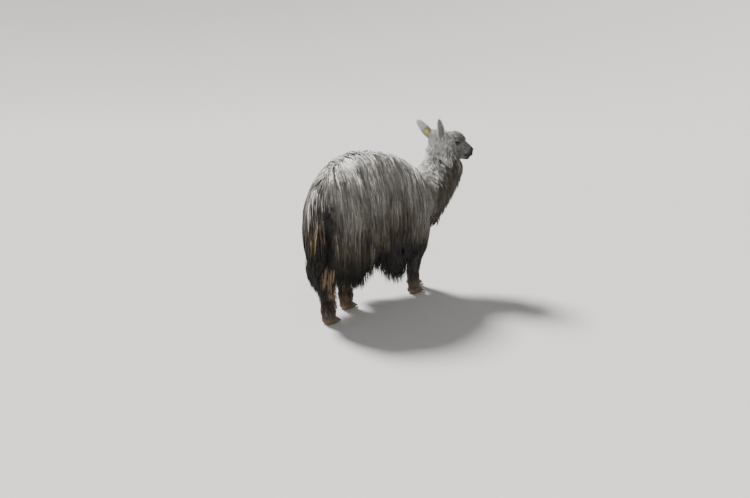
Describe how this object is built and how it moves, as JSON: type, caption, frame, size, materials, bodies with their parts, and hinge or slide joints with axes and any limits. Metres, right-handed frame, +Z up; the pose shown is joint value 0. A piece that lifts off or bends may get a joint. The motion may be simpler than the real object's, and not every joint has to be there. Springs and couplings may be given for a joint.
{
  "type": "suri alpaca",
  "caption": "Life-size suri alpaca standing with its head turned aside, long locks hanging from back to knee, with a plain round ear tag",
  "frame": {"origin": "on the floor, under the centre of the box round the whole animal", "axes": "+Z up, the animal's head end towards -Y, its left side towards +X"},
  "size_m": [0.408, 1.2156, 1.0418],
  "materials": {
    "coat_pale": "long pale grey-beige suri locks, silky",
    "coat_dark": "rust brown to near black fleece of legs, feet, belly hem and tail",
    "face_coat": "short grey hair, near black at nose and mouth",
    "horn": "dark toenail horn, half matt",
    "eye": "wet dark eye",
    "tag": "yellow ear tag, blank"
  },
  "bodies": {
    "root": {"trunk": "coat_pale", "neck": "coat_pale", "head": "face_coat", "lower_jaw": "face_coat", "ear_left": "face_coat", "ear_right": "face_coat", "eye_left": "eye", "eye_right": "eye", "ear_tag": "tag", "ear_tag_stud": "tag", "tail": "coat_dark", "leg_fore_left_upper": "coat_dark", "leg_fore_left_lower": "coat_dark", "foot_fore_left": "coat_dark", "nail_fore_left_left_toe": "horn", "nail_fore_left_right_toe": "horn", "leg_fore_right_upper": "coat_dark", "leg_fore_right_lower": "coat_dark", "foot_fore_right": "coat_dark", "nail_fore_right_left_toe": "horn", "nail_fore_right_right_toe": "horn", "leg_hind_left_upper": "coat_dark", "leg_hind_left_lower": "coat_dark", "foot_hind_left": "coat_dark", "nail_hind_left_left_toe": "horn", "nail_hind_left_right_toe": "horn", "leg_hind_right_upper": "coat_dark", "leg_hind_right_lower": "coat_dark", "foot_hind_right": "coat_dark", "nail_hind_right_left_toe": "horn", "nail_hind_right_right_toe": "horn"}
  },
  "joints": []
}
